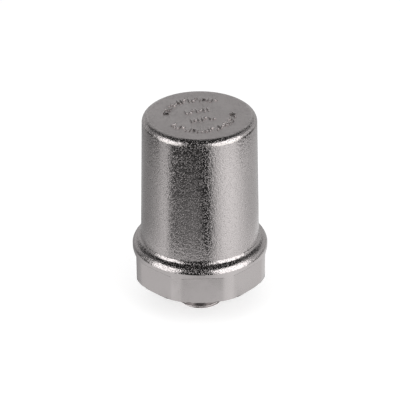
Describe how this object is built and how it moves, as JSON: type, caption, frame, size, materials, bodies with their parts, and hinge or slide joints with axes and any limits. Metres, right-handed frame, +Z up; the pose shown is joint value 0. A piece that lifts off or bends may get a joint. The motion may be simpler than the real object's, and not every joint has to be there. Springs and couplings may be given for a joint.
{
  "type": "water hammer arrestor",
  "caption": "Plated brass bell with octagon wrench flats and a male pipe thread, holding a sealed piston that slides against a coil spring.",
  "frame": {"origin": "centre of the spigot's lower end, which is also the bottom centre of the part's box", "axes": "+Z runs up the axis from the spigot to the closed top of the bell, and one wrench flat faces -Y"},
  "size_m": [0.058, 0.0578, 0.089],
  "materials": {
    "forged_plating": "satin",
    "turned_plating": "gloss",
    "seal_rubber": "satin",
    "piston_plastic": "satin",
    "guide_band": "matte",
    "spring_steel": "satin",
    "pressed_steel": "satin"
  },
  "bodies": {
    "housing": {"bell_casing": "forged_plating", "connector_base": "turned_plating", "casing_o_ring": "seal_rubber", "spring": "spring_steel", "spring_seat": "pressed_steel"},
    "piston_set": {"piston": "piston_plastic", "piston_o_ring_lower": "seal_rubber", "piston_o_ring_upper": "seal_rubber", "piston_guide_ring": "guide_band"}
  },
  "joints": [
    {"name": "piston_slide", "type": "slide", "parent": "housing", "child": "piston_set", "axis": [0, 0, 1], "range_m": [0, 0.018], "stiffness_N_per_m": 41700, "deforming": ["spring"]}
  ]
}
